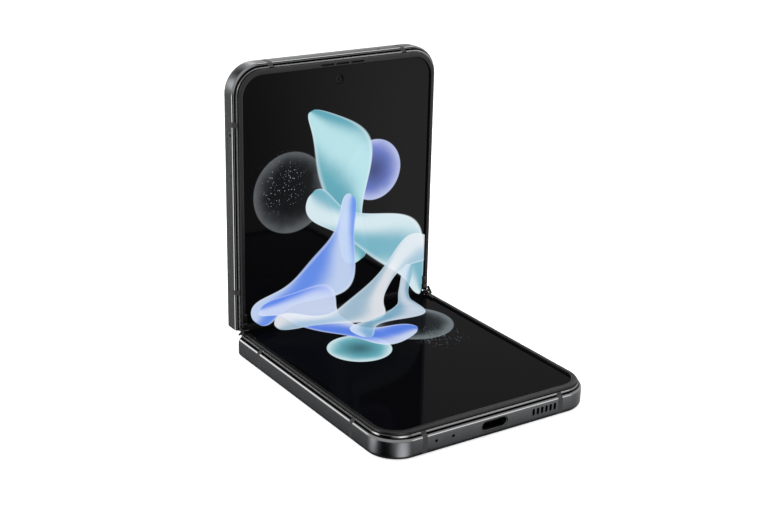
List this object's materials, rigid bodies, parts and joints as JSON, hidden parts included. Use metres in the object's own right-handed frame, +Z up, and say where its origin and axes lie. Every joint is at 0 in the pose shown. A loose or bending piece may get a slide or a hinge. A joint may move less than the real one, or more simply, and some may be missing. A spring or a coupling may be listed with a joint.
{
  "type": "foldable phone",
  "caption": "Clamshell phone whose display folds across its middle on a geared friction hinge, half open, lying on its lower half.",
  "frame": {"origin": "centre of the lower half's back face, on which the phone lies", "axes": "+X across the phone, to the right of a person who faces the displays; -Y from the fold towards the charging port; +Z up"},
  "size_m": [0.0723, 0.0912, 0.0902],
  "materials": {
    "graphite_metal": "anodised graphite, satin with bright polished edge lines",
    "hinge_metal": "anodised graphite, glossy",
    "antenna_plastic": "moulded, flush with the frame",
    "bezel_plastic": "soft matte black",
    "gloss_black": "smooth black",
    "display": "glossy folding film over a lit picture on black",
    "back_glass": "satin etched, graphite",
    "window_glass": "polished black",
    "cover_screen": "dark panel",
    "ring_metal": "turned, satin",
    "lens_glass": "coated dark glass",
    "camera_black": "moulded black",
    "flash_lens": "ribbed lens over a yellow emitter",
    "plate_steel": "rolled sheet",
    "hinge_steel": "sintered and ground",
    "mesh_metal": "dark woven mesh",
    "cell_pouch": "black pouch",
    "board": "solder mask",
    "copper": "copper windings",
    "magnet_plating": "nickel plated",
    "screw_steel": "machined",
    "part_gold": "gold plated can",
    "port_metal": "drawn stainless shell",
    "flex_film": "polyimide film"
  },
  "bodies": {
    "lower_half": {"lower_frame": "graphite_metal", "lower_antenna_breaks": "antenna_plastic", "lower_mid_plate": "plate_steel", "lower_bezel": "bezel_plastic", "lower_bezel_ends": "gloss_black", "lower_display": "display", "lower_back_glass": "back_glass", "lower_battery": "cell_pouch", "charging_coil": "copper", "lower_board": "board", "usb_shell": "port_metal", "usb_tongue": "camera_black", "loudspeaker": "camera_black", "speaker_mesh": "mesh_metal", "lower_microphones": "part_gold", "vibration_motor": "plate_steel", "lower_magnets": "magnet_plating", "lower_screws": "screw_steel", "lower_hinge_arms": "hinge_steel", "lower_fold_plate": "plate_steel"},
    "spine": {"hinge_cover": "hinge_metal", "hinge_housings": "hinge_steel", "hinge_screws": "screw_steel", "hinge_end_caps": "gloss_black", "friction_clips": "hinge_steel", "fold_display": "display", "flex_cables": "flex_film"},
    "upper_half": {"upper_frame": "graphite_metal", "upper_antenna_breaks": "antenna_plastic", "upper_mid_plate": "plate_steel", "upper_bezel": "bezel_plastic", "upper_bezel_ends": "gloss_black", "upper_display": "display", "earpiece_mesh": "mesh_metal", "earpiece_speaker": "camera_black", "front_camera": "lens_glass", "upper_back_glass": "back_glass", "cover_window": "window_glass", "cover_display": "cover_screen", "camera_rings": "ring_metal", "camera_lenses": "lens_glass", "rear_cameras": "camera_black", "rear_flash": "flash_lens", "main_board": "board", "shield_cans": "plate_steel", "upper_battery": "cell_pouch", "upper_magnets": "magnet_plating", "upper_screws": "screw_steel", "upper_microphone": "part_gold", "upper_hinge_arms": "hinge_steel", "upper_fold_plate": "plate_steel", "key_switches": "part_gold", "card_socket": "plate_steel"},
    "volume_button": {"volume_key": "graphite_metal"},
    "side_button": {"side_key": "graphite_metal"},
    "card_drawer": {"card_tray": "graphite_metal"},
    "lower_main_gear": {"lower_main_gears": "hinge_steel"},
    "lower_idler_gear": {"lower_idler_gears": "hinge_steel"},
    "upper_idler_gear": {"upper_idler_gears": "hinge_steel"},
    "upper_main_gear": {"upper_main_gears": "hinge_steel"}
  },
  "joints": [
    {"name": "lower_fold", "type": "hinge", "parent": "lower_half", "child": "spine", "pos_m": [0, 0.03975, 0.0069], "axis": [-1, 0, 0], "range_deg": [-45.4, 45], "deforming": ["fold_display", "flex_cables"]},
    {"name": "upper_fold", "type": "hinge", "parent": "spine", "child": "upper_half", "pos_m": [0, 0.04208, 0.00923], "axis": [-1, 0, 0], "range_deg": [-45.4, 45]},
    {"name": "lower_main_gear_turn", "type": "hinge", "parent": "spine", "child": "lower_main_gear", "pos_m": [0, 0.04092, 0.00488], "axis": [-1, 0, 0], "range_deg": [-45, 45.4]},
    {"name": "lower_idler_gear_turn", "type": "hinge", "parent": "spine", "child": "lower_idler_gear", "pos_m": [0, 0.04198, 0.00595], "axis": [-1, 0, 0], "range_deg": [-45.4, 45]},
    {"name": "upper_idler_gear_turn", "type": "hinge", "parent": "spine", "child": "upper_idler_gear", "pos_m": [0, 0.04304, 0.00701], "axis": [-1, 0, 0], "range_deg": [-45, 45.4]},
    {"name": "upper_main_gear_turn", "type": "hinge", "parent": "spine", "child": "upper_main_gear", "pos_m": [0, 0.0441, 0.00807], "axis": [-1, 0, 0], "range_deg": [-45.4, 45]},
    {"name": "volume_press", "type": "slide", "parent": "upper_half", "child": "volume_button", "axis": [-1, 0, 0], "range_m": [0, 0.00025], "stiffness_N_per_m": 4000},
    {"name": "side_press", "type": "slide", "parent": "upper_half", "child": "side_button", "axis": [-1, 0, 0], "range_m": [0, 0.00025], "stiffness_N_per_m": 4000},
    {"name": "card_slide", "type": "slide", "parent": "upper_half", "child": "card_drawer", "axis": [-1, 0, 0], "range_m": [0, 0.018]}
  ],
  "couplings": [
    {"joint": "upper_fold", "follows": "lower_fold", "ratio": 1},
    {"joint": "lower_main_gear_turn", "follows": "lower_fold", "ratio": -1},
    {"joint": "lower_idler_gear_turn", "follows": "lower_fold", "ratio": 1},
    {"joint": "upper_idler_gear_turn", "follows": "lower_fold", "ratio": -1},
    {"joint": "upper_main_gear_turn", "follows": "lower_fold", "ratio": 1}
  ]
}
